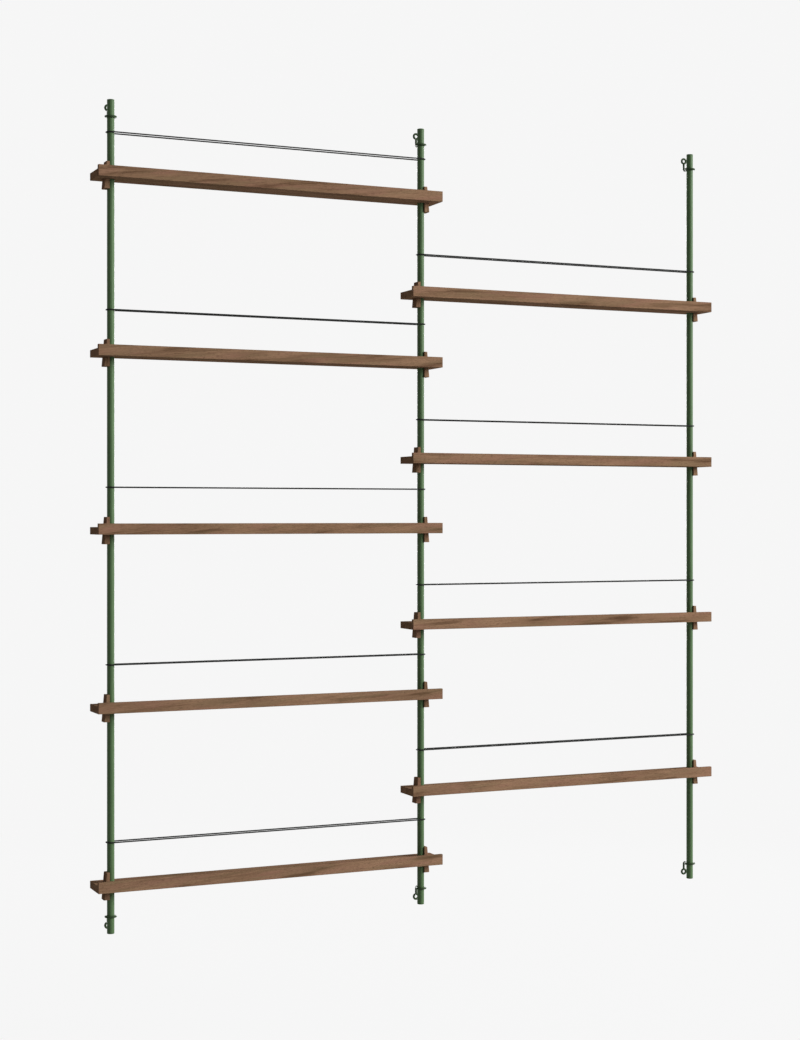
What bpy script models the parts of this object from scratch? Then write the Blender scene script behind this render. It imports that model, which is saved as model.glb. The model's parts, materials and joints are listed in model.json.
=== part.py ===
"""Wall-hung magazine shelf with two bays.

Three round legs stand off the wall on bent wire eyes. Each shelf is a board with a raised front lip.
Its two legs pass through slots in the board, and a tapered half-sleeve wedge jams the board on each leg.
A closed wire loop above each shelf keeps the magazines upright.

Frame: metres. +X runs right along the wall, +Y goes into the wall, +Z is up. The wall is the plane
y = 0, and the origin is the centre of the middle leg's top eye, on the wall.
"""
import math

import bmesh
import bpy
from mathutils import Matrix, Vector

# Clearances
TOUCH_GAP = 0.0003
WALL_GAP = 0.0005
WIRE_TIP_GAP = 0.0007

# How meshes are made: points closer than this are one, and faces at less than this angle read as round
MERGE_DISTANCE = 0.000001
SMOOTH_ANGLE = math.radians(40)

# Legs
LEG_LENGTH = 1.800
LEG_RADIUS = 0.008
LEG_WALL = 0.0015
LEG_SPACING = 0.7366
LEG_TO_WALL = 0.0315
LEG_SIDES = 28

# End plugs
PLUG_HEAD = 0.0018
PLUG_ROUND = 0.0010
PLUG_INSERT = 0.014
PLUG_LEAD = 0.0015
PLUG_RIB = 0.0004
PLUG_SIDES = 20

# Wall eyes. The wire leaves the collar beside the leg's axis, and the collar slopes down to its front
EYE_WIRE_RADIUS = 0.0025
EYE_RING_RADIUS = 0.0057
EYE_ASIDE = 0.0014
COLLAR_SLOPE = 0.06
EYE_RING_STEPS = 13
EYE_CORNER_STEPS = 3
EYE_BEND_STEPS = 4
EYE_CORNER_RADIUS = 0.0030
EYE_BEND_RADIUS = 0.0057
EYE_TO_LEG_END = 0.0118
EYE_TO_COLLAR = 0.0242
COLLAR_STEPS = 14
TIP_TURN = math.radians(0.5)
TIP_TEST_POINTS = 12
WIRE_CIRCLE_STEPS = 2

# Shelves. The overhang runs from a leg's axis to the board's end, and the front from the axis to the lip
SHELF_OVERHANG = 0.0376
SHELF_FRONT = 0.041
BOARD_THICKNESS = 0.016
BOARD_ARRIS = 0.0005
LIP_THICKNESS = 0.008
LIP_RISE = 0.008
LIP_ARRIS = 0.0008
FIRST_SHELF_HEIGHT = 0.0953
BAY_STEP = 0.1614
SHELVES_IN_BAY = (5, 4)

# Wedges, measured out from the leg's axis
WEDGE_BELOW = 0.021
WEDGE_ABOVE = 0.022
WEDGE_HALF_WIDTH = 0.011
WEDGE_OUT_BOTTOM = 0.018
WEDGE_OUT_TOP = 0.0128
WEDGE_CHEEK_END = 0.005
WEDGE_CORNER = 0.0025
WEDGE_CHAMFER = 0.0008
CORNER_STEPS = 3
GROOVE_STEPS = 8
SLOT_END_STEPS = 8

# Magazine wires
WIRE_RADIUS = 0.0015
WIRE_HEIGHT = 0.1020
TOP_WIRE_TO_LEG_END = 0.0707
WIRE_END_STEPS = 9

# Places that follow from the sizes above
BAY_NAMES = ("left_bay", "right_bay")
LEG_NAMES = ("left", "middle", "right")
LEG_X = (-LEG_SPACING - EYE_ASIDE, -EYE_ASIDE, LEG_SPACING - EYE_ASIDE)
LEG_Y = -LEG_TO_WALL
LEG_TOP_Z = EYE_TO_LEG_END
LEG_BOTTOM_Z = LEG_TOP_Z - LEG_LENGTH
SHELF_LENGTH = LEG_SPACING + 2 * SHELF_OVERHANG
SHELF_STACK = LEG_LENGTH - FIRST_SHELF_HEIGHT - WIRE_HEIGHT - TOP_WIRE_TO_LEG_END
SHELF_PITCH = SHELF_STACK / (SHELVES_IN_BAY[0] - 1)
SHELF_BACK_Y = -WALL_GAP
COLLAR_RADIUS = LEG_RADIUS + TOUCH_GAP + EYE_WIRE_RADIUS
WEDGE_LENGTH = WEDGE_BELOW + BOARD_THICKNESS + WEDGE_ABOVE
WEDGE_SLOPE = (WEDGE_OUT_BOTTOM - WEDGE_OUT_TOP) / WEDGE_LENGTH
GROOVE_RADIUS = LEG_RADIUS + TOUCH_GAP


def clear_scene():
    """Remove whatever the start-up file holds."""
    for old in list(bpy.data.objects):
        bpy.data.objects.remove(old, do_unlink=True)


def make_material(name, colour, roughness, metallic=0.0):
    """A plain Principled material with a linear base colour."""
    material = bpy.data.materials.new(name)
    material.use_nodes = True
    shader = material.node_tree.nodes["Principled BSDF"]
    shader.inputs["Base Color"].default_value = (*colour, 1.0)
    shader.inputs["Roughness"].default_value = roughness
    shader.inputs["Metallic"].default_value = metallic
    material.diffuse_color = (*colour, 1.0)
    return material


def make_finishes():
    """The shelf's finishes, from its light and its dark sides in the photograph."""
    return {
        "leg": ("leg_green", (0.105, 0.165, 0.085), 0.45),
        "plug": ("plug_green", (0.105, 0.165, 0.085), 0.50),
        "eye": ("eye_black", (0.030, 0.030, 0.030), 0.45),
        "board": ("board_oak", (0.150, 0.088, 0.055), 0.60),
        "lip": ("lip_oak", (0.185, 0.105, 0.065), 0.60),
        "wedge": ("wedge_oak", (0.165, 0.095, 0.062), 0.60),
        "wire": ("wire_black", (0.022, 0.022, 0.022), 0.40),
    }


def place(name, data, finish, location=(0.0, 0.0, 0.0), turn=0.0, parent=None):
    """Add one piece with a material of its own, at a world location turned about the vertical."""
    piece = bpy.data.objects.new(name, data)
    bpy.context.scene.collection.objects.link(piece)
    material_name, colour, roughness = finish
    if len(data.materials) == 0:
        data.materials.append(None)
    slot = piece.material_slots[0]
    slot.link = "OBJECT"
    slot.material = make_material(f"{material_name}_{name}", colour, roughness)
    place_at = Vector(location)
    if parent is not None:
        piece.parent = parent
        place_at -= parent.location
    piece.location = place_at
    piece.rotation_euler.z = turn
    return piece


def make_guide(name, location):
    """An empty on a slide's axis, which carries the pieces that travel together."""
    guide = bpy.data.objects.new(name, None)
    guide.empty_display_size = LEG_RADIUS
    guide.location = location
    bpy.context.scene.collection.objects.link(guide)
    return guide


def finish_mesh(name, bm, smooth=False):
    """Turn a bmesh into a mesh with outward faces, flat or smooth round its curves."""
    bmesh.ops.recalc_face_normals(bm, faces=bm.faces)
    mesh = bpy.data.meshes.new(name)
    bm.to_mesh(mesh)
    bm.free()
    if smooth:
        mesh.shade_smooth()
        mesh.set_sharp_from_angle(angle=SMOOTH_ANGLE)
    return mesh


def arc(centre_x, centre_y, radius, start, end, steps):
    """Points of a plane arc, both ends included. Angles are in radians."""
    angles = [start + (end - start) * step / steps for step in range(steps + 1)]
    return [(centre_x + radius * math.cos(a), centre_y + radius * math.sin(a)) for a in angles]


def turned_solid(name, profile, sides, closed_profile):
    """Turn a profile of (radius, height) points about the vertical axis."""
    bm = bmesh.new()
    verts = [bm.verts.new((radius, 0.0, height)) for radius, height in profile]
    ends = verts[1:] + verts[:1] if closed_profile else verts[1:]
    edges = [bm.edges.new(pair) for pair in zip(verts, ends)]
    bmesh.ops.spin(bm, geom=verts + edges, cent=(0.0, 0.0, 0.0), axis=(0.0, 0.0, 1.0), angle=math.tau,
                   steps=sides, use_merge=True)
    bmesh.ops.remove_doubles(bm, verts=bm.verts, dist=MERGE_DISTANCE)
    return finish_mesh(name, bm, smooth=True)


def lofted_solid(name, outlines):
    """Close a solid over outlines of equal length, each a pair of a height and its plane points."""
    bm = bmesh.new()
    rings = [[bm.verts.new((x, y, z)) for x, y in points] for z, points in outlines]
    for lower, upper in zip(rings, rings[1:]):
        for index, vert in enumerate(lower):
            after = (index + 1) % len(lower)
            bm.faces.new((vert, lower[after], upper[after], upper[index]))
    bm.faces.new(list(reversed(rings[0])))
    bm.faces.new(rings[-1])
    return bm


def box_bmesh(low, high):
    """A box between two corners."""
    low = Vector(low)
    high = Vector(high)
    size = Matrix.Diagonal((high - low).to_4d())
    bm = bmesh.new()
    bmesh.ops.create_cube(bm, size=1.0, matrix=Matrix.Translation((low + high) / 2) @ size)
    return bm


def ease_edges(bm, edges, width, segments):
    """Break sharp edges with a narrow round."""
    bmesh.ops.bevel(bm, geom=edges, offset=width, offset_type="OFFSET", segments=segments, profile=0.5,
                    affect="EDGES", material=-1, clamp_overlap=True)


def leg_mesh():
    """A straight tube, shorter than the leg by the heads of its two plugs."""
    half = LEG_LENGTH / 2 - PLUG_HEAD - TOUCH_GAP
    bore = LEG_RADIUS - LEG_WALL
    profile = [(LEG_RADIUS, half), (LEG_RADIUS, -half), (bore, -half), (bore, half)]
    return turned_solid("leg", profile, LEG_SIDES, closed_profile=True)


def plug_mesh():
    """An end plug with its head up: a rounded head, a ribbed spigot and a lead-in. Its seat is at z = 0."""
    spigot = LEG_RADIUS - LEG_WALL - TOUCH_GAP
    neck = spigot - PLUG_RIB
    shoulder = LEG_RADIUS - PLUG_ROUND
    middle = -PLUG_INSERT / 2
    rim = arc(shoulder, PLUG_HEAD - PLUG_ROUND, PLUG_ROUND, math.pi / 2, 0.0, 2)
    barb = [(spigot, middle - PLUG_RIB), (spigot, PLUG_LEAD - PLUG_INSERT)]
    tip = [(spigot - PLUG_LEAD / 2, -PLUG_INSERT), (0.0, -PLUG_INSERT)]
    profile = [(0.0, PLUG_HEAD)] + rim + [(LEG_RADIUS, 0.0), (neck, 0.0), (neck, middle)] + barb + tip
    return turned_solid("plug", profile, PLUG_SIDES, closed_profile=False)


def turn_off(ring_radius, aside):
    """How far from a ring's centre its straight wire, which may pass beside the centre, turns off."""
    between = ring_radius + EYE_CORNER_RADIUS
    return math.sqrt(between ** 2 - (aside + EYE_CORNER_RADIUS) ** 2)


def tail_of_ring(ring_radius, aside):
    """Plane points of the small reverse bend from the straight wire into a ring, and its angle there."""
    reach = turn_off(ring_radius, aside)
    join = math.atan2(reach, aside + EYE_CORNER_RADIUS)
    centre_x = aside + EYE_CORNER_RADIUS
    return arc(centre_x, reach, EYE_CORNER_RADIUS, math.pi, math.pi + join, EYE_CORNER_STEPS), join


def tip_angle(ring_radius, aside):
    """Angle at a ring's centre, from the Y axis to the ring's flat cut tip, that just clears the wire."""
    corner, _ = tail_of_ring(ring_radius, aside)
    start = corner[0][1]
    straight = [(aside, start + step * EYE_WIRE_RADIUS / 2) for step in range(1, TIP_TEST_POINTS)]
    fine = [Vector(a).lerp(Vector(b), share / TIP_TEST_POINTS)
            for a, b in zip(corner, corner[1:]) for share in range(TIP_TEST_POINTS)]
    angle = TIP_TURN
    while angle < math.pi / 2:
        out = Vector((-math.sin(angle), math.cos(angle)))
        cut = [out * (ring_radius + share * EYE_WIRE_RADIUS) for share in (-1, -0.5, 0, 0.5, 1)]
        gaps = [(point - Vector(other)).length for point in cut for other in fine + straight]
        if min(gaps) > EYE_WIRE_RADIUS + WIRE_TIP_GAP:
            return angle
        angle += TIP_TURN
    return angle


def ring_with_tail(ring_radius, aside, steps):
    """Plane points of a bent ring at the origin whose straight wire comes in from +Y at x = aside.

    They run from the straight wire through a small reverse bend, and round the ring to its cut tip.
    """
    tail, join = tail_of_ring(ring_radius, aside)
    last = math.pi / 2 + tip_angle(ring_radius, aside) - math.tau
    return tail + arc(0.0, 0.0, ring_radius, join, last, steps)[1:]


def eye_route(up):
    """One wire from the collar round the leg, along the wall and round the eye.

    The origin is on the leg's axis, level with the wire's run to the wall, and up is 1 where the eye is
    above the collar.
    """
    wall_y = LEG_TO_WALL - EYE_WIRE_RADIUS
    run_start = turn_off(COLLAR_RADIUS, EYE_ASIDE)
    collar = [(x, y, up * COLLAR_SLOPE * (y - run_start))
              for x, y in ring_with_tail(COLLAR_RADIUS, EYE_ASIDE, COLLAR_STEPS)]
    bend_y = wall_y - EYE_BEND_RADIUS
    bend = arc(bend_y, EYE_BEND_RADIUS, EYE_BEND_RADIUS, -math.pi / 2, 0.0, EYE_BEND_STEPS)
    stem = [(EYE_ASIDE, y, up * z) for y, z in bend]
    eye = [(EYE_ASIDE + x, wall_y, up * (EYE_TO_COLLAR - y))
           for x, y in ring_with_tail(EYE_RING_RADIUS, 0.0, EYE_RING_STEPS)]
    return list(reversed(collar)) + stem + eye


def wire_loop_route():
    """A closed loop round two legs, centred between them: two straight strands and two half turns."""
    turn = LEG_RADIUS + TOUCH_GAP + WIRE_RADIUS
    half = LEG_SPACING / 2
    right = arc(half, 0.0, turn, -math.pi / 2, math.pi / 2, WIRE_END_STEPS)
    left = arc(-half, 0.0, turn, math.pi / 2, 1.5 * math.pi, WIRE_END_STEPS)
    return [(x, y, 0.0) for x, y in right + left]


def wire_curve(name, route, radius, closed):
    """A round wire along a route, as a bevelled curve."""
    curve = bpy.data.curves.new(name, "CURVE")
    curve.dimensions = "3D"
    curve.bevel_depth = radius
    curve.bevel_resolution = WIRE_CIRCLE_STEPS
    curve.use_fill_caps = not closed
    spline = curve.splines.new("POLY")
    spline.points.add(len(route) - 1)
    for point, position in zip(spline.points, route):
        point.co = (*position, 1.0)
    spline.use_cyclic_u = closed
    spline.use_smooth = True
    return curve


def wedge_reach(z):
    """How far the wedge's outer face is from the leg's axis, at a height above the board's underside."""
    return WEDGE_OUT_BOTTOM - WEDGE_SLOPE * (z + WEDGE_BELOW)


def outer_corners(reach, half_width, corner):
    """The two rounded outer corners that a wedge and its slot share, from -Y to +Y."""
    low = arc(reach - corner, -half_width + corner, corner, -math.pi / 2, 0.0, CORNER_STEPS)
    high = arc(reach - corner, half_width - corner, corner, 0.0, math.pi / 2, CORNER_STEPS)
    return low + high


def wedge_outline(z):
    """A wedge's section at one height, with the leg on the Z axis and the wedge towards +X."""
    opening = math.acos(WEDGE_CHEEK_END / GROOVE_RADIUS)
    groove = arc(0.0, 0.0, GROOVE_RADIUS, opening, -opening, GROOVE_STEPS)
    cheek_high = [(WEDGE_CHEEK_END, WEDGE_HALF_WIDTH)]
    cheek_low = [(WEDGE_CHEEK_END, -WEDGE_HALF_WIDTH)]
    return cheek_low + outer_corners(wedge_reach(z), WEDGE_HALF_WIDTH, WEDGE_CORNER) + cheek_high + groove


def wedge_mesh():
    """A tapered half-sleeve: flat outer face, two thin cheeks and a groove that hugs the leg."""
    low = -WEDGE_BELOW
    high = BOARD_THICKNESS + WEDGE_ABOVE
    bm = lofted_solid("wedge", [(z, wedge_outline(z)) for z in (low, high)])
    outside = []
    for edge in bm.edges:
        flat = abs(edge.verts[0].co.z - edge.verts[1].co.z) < TOUCH_GAP
        radii = [vert.co.xy.length for vert in edge.verts]
        if flat and min(radii) > GROOVE_RADIUS + TOUCH_GAP:
            outside.append(edge)
    ease_edges(bm, outside, WEDGE_CHAMFER, 1)
    return finish_mesh("wedge", bm)


def slot_outline(z):
    """A board slot's section at one height: a round inner end on the leg, and the wedge's outer end."""
    half_width = WEDGE_HALF_WIDTH + TOUCH_GAP
    inner_centre = half_width - GROOVE_RADIUS
    inner = arc(inner_centre, 0.0, half_width, math.pi / 2, 1.5 * math.pi, SLOT_END_STEPS)
    return outer_corners(wedge_reach(z) + TOUCH_GAP, half_width, WEDGE_CORNER + TOUCH_GAP) + inner


def slot_cutter_mesh():
    """The two slots of one board as solids that stand through it, in the board's own frame."""
    low = -BOARD_THICKNESS
    high = 2 * BOARD_THICKNESS
    bm = bmesh.new()
    for side in (-1, 1):
        one = lofted_solid("slot", [(z, slot_outline(z)) for z in (low, high)])
        if side < 0:
            turn = Matrix.Rotation(math.pi, 3, "Z")
            bmesh.ops.rotate(one, verts=one.verts, cent=(0.0, 0.0, 0.0), matrix=turn)
        bmesh.ops.translate(one, verts=one.verts, vec=(side * LEG_SPACING / 2, 0.0, 0.0))
        half = finish_mesh("slot", one)
        bm.from_mesh(half)
        bpy.data.meshes.remove(half)
    return finish_mesh("slot_cutters", bm)


def board_mesh():
    """A board with eased arrises and two slots. Its origin is at its underside, between the legs."""
    low = (-SHELF_LENGTH / 2, LIP_THICKNESS + TOUCH_GAP - SHELF_FRONT, 0.0)
    high = (SHELF_LENGTH / 2, SHELF_BACK_Y - LEG_Y, BOARD_THICKNESS)
    bm = box_bmesh(low, high)
    joint_y = low[1] + BOARD_ARRIS
    free = [edge for edge in bm.edges if max(vert.co.y for vert in edge.verts) > joint_y]
    ease_edges(bm, free, BOARD_ARRIS, 1)
    blank = bpy.data.objects.new("board_blank", finish_mesh("board_blank", bm))
    cutter = bpy.data.objects.new("slot_cutter", slot_cutter_mesh())
    for helper in (blank, cutter):
        bpy.context.scene.collection.objects.link(helper)
    cut = blank.modifiers.new("slots", "BOOLEAN")
    cut.operation = "DIFFERENCE"
    cut.solver = "EXACT"
    cut.object = cutter
    graph = bpy.context.evaluated_depsgraph_get()
    mesh = bpy.data.meshes.new_from_object(blank.evaluated_get(graph))
    mesh.name = "board"
    for helper in (blank, cutter):
        bpy.data.objects.remove(helper, do_unlink=True)
    return mesh


def lip_mesh():
    """A front lip with rounded arrises, flush with the board's underside and higher than its top."""
    low = (-SHELF_LENGTH / 2, -SHELF_FRONT, 0.0)
    high = (SHELF_LENGTH / 2, LIP_THICKNESS - SHELF_FRONT, BOARD_THICKNESS + LIP_RISE)
    bm = box_bmesh(low, high)
    free = [edge for edge in bm.edges
            if min(vert.co.y for vert in edge.verts) < low[1] + LIP_ARRIS
            or min(vert.co.z for vert in edge.verts) > BOARD_THICKNESS]
    ease_edges(bm, free, LIP_ARRIS, 2)
    return finish_mesh("lip", bm)


def build_legs(finishes):
    """Three tubes, each with a plug in either end and an eye near either end."""
    tube = leg_mesh()
    plug = plug_mesh()
    middle_z = (LEG_TOP_Z + LEG_BOTTOM_Z) / 2
    seat = LEG_LENGTH / 2 - PLUG_HEAD
    collar = LEG_LENGTH / 2 - EYE_TO_LEG_END - EYE_TO_COLLAR
    for leg_name, x in zip(LEG_NAMES, LEG_X):
        place(f"{leg_name}_leg", tube, finishes["leg"], (x, LEG_Y, middle_z))
        for end_name, up in (("top", 1), ("bottom", -1)):
            cap_at = (x, LEG_Y, middle_z + up * seat)
            cap = place(f"{leg_name}_leg_{end_name}_plug", plug, finishes["plug"], cap_at)
            if up < 0:
                cap.rotation_euler.x = math.pi
            eye = wire_curve(f"{leg_name}_{end_name}_eye", eye_route(up), EYE_WIRE_RADIUS, closed=False)
            eye_at = (x, LEG_Y, middle_z + up * collar)
            place(f"{leg_name}_{end_name}_wall_eye", eye, finishes["eye"], eye_at)


def build_bay(bay, shelves, finishes):
    """The shelves, wedges and magazine wires between two neighbouring legs."""
    board, lip, wedge, loop = shelves
    name = BAY_NAMES[bay]
    centre_x = (LEG_X[bay] + LEG_X[bay + 1]) / 2
    for number in range(SHELVES_IN_BAY[bay]):
        height = LEG_BOTTOM_Z + FIRST_SHELF_HEIGHT + bay * BAY_STEP + number * SHELF_PITCH
        label = f"{name}_{number + 1}"
        at = (centre_x, LEG_Y, height)
        guide = make_guide(f"{label}_shelf", at)
        place(f"{label}_board", board, finishes["board"], at, parent=guide)
        place(f"{label}_lip", lip, finishes["lip"], at, parent=guide)
        for side_name, side in (("left", -1), ("right", 1)):
            beside_leg = (centre_x + side * LEG_SPACING / 2, LEG_Y, height)
            turn = math.pi if side < 0 else 0.0
            place(f"{label}_{side_name}_wedge", wedge, finishes["wedge"], beside_leg, turn, guide)
        place(f"{label}_wire", loop, finishes["wire"], (centre_x, LEG_Y, height + WIRE_HEIGHT))


def main():
    clear_scene()
    finishes = make_finishes()
    build_legs(finishes)
    loop = wire_curve("magazine_wire", wire_loop_route(), WIRE_RADIUS, closed=True)
    shelves = (board_mesh(), lip_mesh(), wedge_mesh(), loop)
    for bay in range(len(BAY_NAMES)):
        build_bay(bay, shelves, finishes)


main()
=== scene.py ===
# %% [markdown]
# # A wall-hung magazine shelf
# Three round legs hang on the wall by bent wire eyes. Narrow oak boards with a raised lip are threaded over
# the legs and jammed there by tapered wedges, and a thin wire loop over each board keeps the magazines
# upright.
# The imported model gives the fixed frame: where each piece is, and which body it moves with. Every visible
# piece is made again here with round wires, eased arrises and finished surfaces, exactly where the frame
# has it.

# %% Load the frame
import json
import math

import bmesh
import bpy
from mathutils import Matrix, Vector

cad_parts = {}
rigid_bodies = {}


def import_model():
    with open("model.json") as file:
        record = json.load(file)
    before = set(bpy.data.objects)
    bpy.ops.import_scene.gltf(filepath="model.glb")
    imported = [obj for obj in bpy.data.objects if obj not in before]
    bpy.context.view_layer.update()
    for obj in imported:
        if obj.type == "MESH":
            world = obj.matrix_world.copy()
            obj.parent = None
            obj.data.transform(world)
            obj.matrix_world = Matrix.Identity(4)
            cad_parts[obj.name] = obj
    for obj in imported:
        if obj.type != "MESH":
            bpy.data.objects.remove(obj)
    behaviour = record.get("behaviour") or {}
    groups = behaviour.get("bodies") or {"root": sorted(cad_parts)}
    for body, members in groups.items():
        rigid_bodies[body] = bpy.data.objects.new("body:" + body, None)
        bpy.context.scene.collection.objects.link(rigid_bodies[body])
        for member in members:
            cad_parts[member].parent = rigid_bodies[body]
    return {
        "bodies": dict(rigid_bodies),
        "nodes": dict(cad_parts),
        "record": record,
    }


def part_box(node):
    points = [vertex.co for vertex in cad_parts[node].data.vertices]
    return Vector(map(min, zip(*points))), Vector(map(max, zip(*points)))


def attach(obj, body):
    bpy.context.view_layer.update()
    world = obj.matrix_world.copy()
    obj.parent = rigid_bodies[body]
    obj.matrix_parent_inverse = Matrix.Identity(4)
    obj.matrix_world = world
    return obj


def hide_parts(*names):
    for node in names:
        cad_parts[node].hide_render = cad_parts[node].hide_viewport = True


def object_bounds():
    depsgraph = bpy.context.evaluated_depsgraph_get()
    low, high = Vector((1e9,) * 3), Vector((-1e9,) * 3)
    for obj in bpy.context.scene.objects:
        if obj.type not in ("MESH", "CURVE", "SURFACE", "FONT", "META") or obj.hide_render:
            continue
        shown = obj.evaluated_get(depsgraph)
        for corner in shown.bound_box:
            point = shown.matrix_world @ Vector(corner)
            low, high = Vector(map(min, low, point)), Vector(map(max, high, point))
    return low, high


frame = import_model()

for spare in set(bpy.data.objects) - set(frame["nodes"].values()) - set(frame["bodies"].values()):
    bpy.data.objects.remove(spare)
cad_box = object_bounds()
print("frame nodes:", len(frame["nodes"]), "box:", [round(v, 4) for v in cad_box[1] - cad_box[0]])

# %% [markdown]
# ## What is where
# The names follow a pattern, so loops can reach every piece: three legs, and two bays with a numbered row
# of shelves in each. A dictionary from each node to its body saves looking the body up by hand for all of
# them.

# %% Names and places
LEG_NAMES = ("left", "middle", "right")
END_SIGNS = {"top": 1, "bottom": -1}
BODY_OF = {node: body
           for body, nodes in frame["record"]["behaviour"]["bodies"].items() for node in nodes}
SHELF_LABELS = sorted(node[:-len("_board")] for node in frame["nodes"] if node.endswith("_board"))
LEGS_OF_BAY = {"left_bay": ("left", "middle"), "right_bay": ("middle", "right")}


def middle(node):
    """Centre of a node's box."""
    low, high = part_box(node)
    return (low + high) / 2


def legs_of(label):
    """The axes of the two legs that carry a shelf, at height zero."""
    bay = label[:label.index("_bay") + len("_bay")]
    return [Vector((*middle(f"{leg}_leg").xy, 0.0)) for leg in LEGS_OF_BAY[bay]]


LEG_RADIUS = (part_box("left_leg")[1].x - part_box("left_leg")[0].x) / 2
print("shelves:", SHELF_LABELS)
print("leg diameter in mm:", round(2000 * LEG_RADIUS, 2))

# %% [markdown]
# ## One way to finish every piece
# A piece is drawn as a bmesh in its final place, because its object stays at the origin. The same few steps
# end each one: outward faces, an "arris" value that is 1 on the eased edges and 0 elsewhere, smooth shading
# that stays crisp at real corners, and weighted normals, which keep the flat faces flat beside their small
# rounds.

# %% Finish a piece
CRISP_ANGLE = math.radians(38)
MERGE_DISTANCE = 0.000001
ROUND_PROFILE = 0.5
UP = Vector((0.0, 0.0, 1.0))
RIGHT = Vector((1.0, 0.0, 0.0))
TO_WALL = Vector((0.0, 1.0, 0.0))


def finish_piece(node, bm, material, slot, eased=()):
    """Turn a bmesh into the piece that stands for a node, on that node's body."""
    bmesh.ops.recalc_face_normals(bm, faces=bm.faces)
    rounds = set(eased)
    arris = bm.verts.layers.float.new("arris")
    for vert in bm.verts:
        vert[arris] = float(all(face in rounds for face in vert.link_faces))
    mesh = bpy.data.meshes.new(f"{node}_fine")
    bm.to_mesh(mesh)
    bm.free()
    mesh.shade_smooth()
    mesh.set_sharp_from_angle(angle=CRISP_ANGLE)
    mesh.materials.append(material)
    piece = bpy.data.objects.new(f"{node}_fine", mesh)
    bpy.context.scene.collection.objects.link(piece)
    even = piece.modifiers.new("even_normals", "WEIGHTED_NORMAL")
    even.keep_sharp = True
    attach(piece, BODY_OF[node])
    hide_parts(node)
    return piece


def ease(bm, edges, width, steps):
    """Round a set of edges and give back the new faces."""
    made = bmesh.ops.bevel(bm, geom=list(edges), offset=width, offset_type="OFFSET", segments=steps,
                           profile=ROUND_PROFILE, affect="EDGES", material=-1, clamp_overlap=True)
    return made["faces"]


print("helpers:", [helper.__name__ for helper in (finish_piece, ease)])

# %% [markdown]
# ## Grain that belongs to the wood
# A plank shows the inside of a tree, so its pattern has to be solid: long streaks on the faces and the cut
# ends of the same rings at the ends. Each vertex therefore keeps its place in the tree as an attribute
# called "grain", in metres, with X along the trunk and the pith on the X axis. Straight-line values are
# carried over a face without error. Every wooden piece has a number and with it its own cut from the tree,
# which keeps two boards from looking alike. Few boards are sawn quite along the trunk, so the grain climbs
# a little from left to right.

# %% Grain coordinates
GOLDEN_SHARE = (math.sqrt(5) - 1) / 2
TURN_MULTIPLE = 7
REACH_MULTIPLE = 3
RUNOUT_MULTIPLE = 5
TRUNK_LENGTH = 3.0
PITH_NEAR = 0.055
PITH_FAR = 0.120
RUNOUT_LEAST = 0.03
RUNOUT_MOST = 0.11


def tree_place(number):
    """Where piece number sits in the tree: along the trunk and off the pith, and how its grain climbs."""
    share = number * GOLDEN_SHARE % 1.0
    turn = math.tau * (share * TURN_MULTIPLE % 1.0)
    reach = PITH_NEAR + (PITH_FAR - PITH_NEAR) * (share * REACH_MULTIPLE % 1.0)
    runout = RUNOUT_LEAST + (RUNOUT_MOST - RUNOUT_LEAST) * (share * RUNOUT_MULTIPLE % 1.0)
    return Vector((share * TRUNK_LENGTH, reach * math.cos(turn), reach * math.sin(turn))), runout


def lay_grain(bm, centre, number, upright=False):
    """Write the grain attribute. The grain runs along X, or along Z on an upright piece."""
    layer = bm.verts.layers.float_vector.new("grain")
    offset, runout = tree_place(number)
    for vert in bm.verts:
        place = vert.co - centre
        if upright:
            place = Vector((place.z, place.x, place.y))
        place.z -= runout * place.x
        vert[layer] = place + offset


print("grain climb of the first cuts:", [round(tree_place(number)[1], 3) for number in range(3)])

# %% [markdown]
# ## Shader building blocks
# Node groups are drawn once and reused with other values. A few helpers keep the drawing short: each adds
# a node, plugs or sets its inputs, and gives back its result, so that a pattern reads like a sum. The Mix
# node has sockets for numbers, vectors and colours side by side, and its colours are picked by position.

# %% Node helpers
MIX_SHARE_AND_COLOURS = (0, 6, 7)
MIXED_COLOUR = 2


def plug(tree, socket, value):
    """Link an input socket to another socket, or set its value."""
    if isinstance(value, bpy.types.NodeSocket):
        tree.links.new(value, socket)
    else:
        socket.default_value = value


def add_node(tree, kind, inputs, **settings):
    """A node with its settings, and with inputs that are set to a value or linked to a socket."""
    node = tree.nodes.new(kind)
    for name, value in settings.items():
        setattr(node, name, value)
    for name, value in inputs.items():
        plug(tree, node.inputs[name], value)
    return node


def maths(tree, operation, first, second=0.0):
    """The result of a Math node."""
    return add_node(tree, "ShaderNodeMath", {0: first, 1: second}, operation=operation).outputs[0]


def stretched(tree, vector, scale):
    """A vector scaled by its own factor on each axis."""
    return add_node(tree, "ShaderNodeVectorMath", {0: vector, 1: scale}, operation="MULTIPLY").outputs[0]


def length(tree, vector):
    """The length of a vector."""
    return add_node(tree, "ShaderNodeVectorMath", {0: vector}, operation="LENGTH").outputs["Value"]


def joined(tree, x, y, z):
    """A vector made of three values."""
    return add_node(tree, "ShaderNodeCombineXYZ", {"X": x, "Y": y, "Z": z}).outputs[0]


def noise(tree, vector, stretch, detail, roughness=0.5):
    """Noise from 0 to 1 over a vector that is stretched first."""
    sockets = {"Vector": stretched(tree, vector, stretch), "Scale": 1.0, "Detail": detail,
               "Roughness": roughness}
    return add_node(tree, "ShaderNodeTexNoise", sockets).outputs["Fac"]


def ramp(tree, value, low, high, to_low=0.0, to_high=1.0):
    """A value eased from one range to another and held at its ends."""
    sockets = {"Value": value, "From Min": low, "From Max": high, "To Min": to_low, "To Max": to_high}
    return add_node(tree, "ShaderNodeMapRange", sockets, interpolation_type="SMOOTHSTEP").outputs["Result"]


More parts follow.
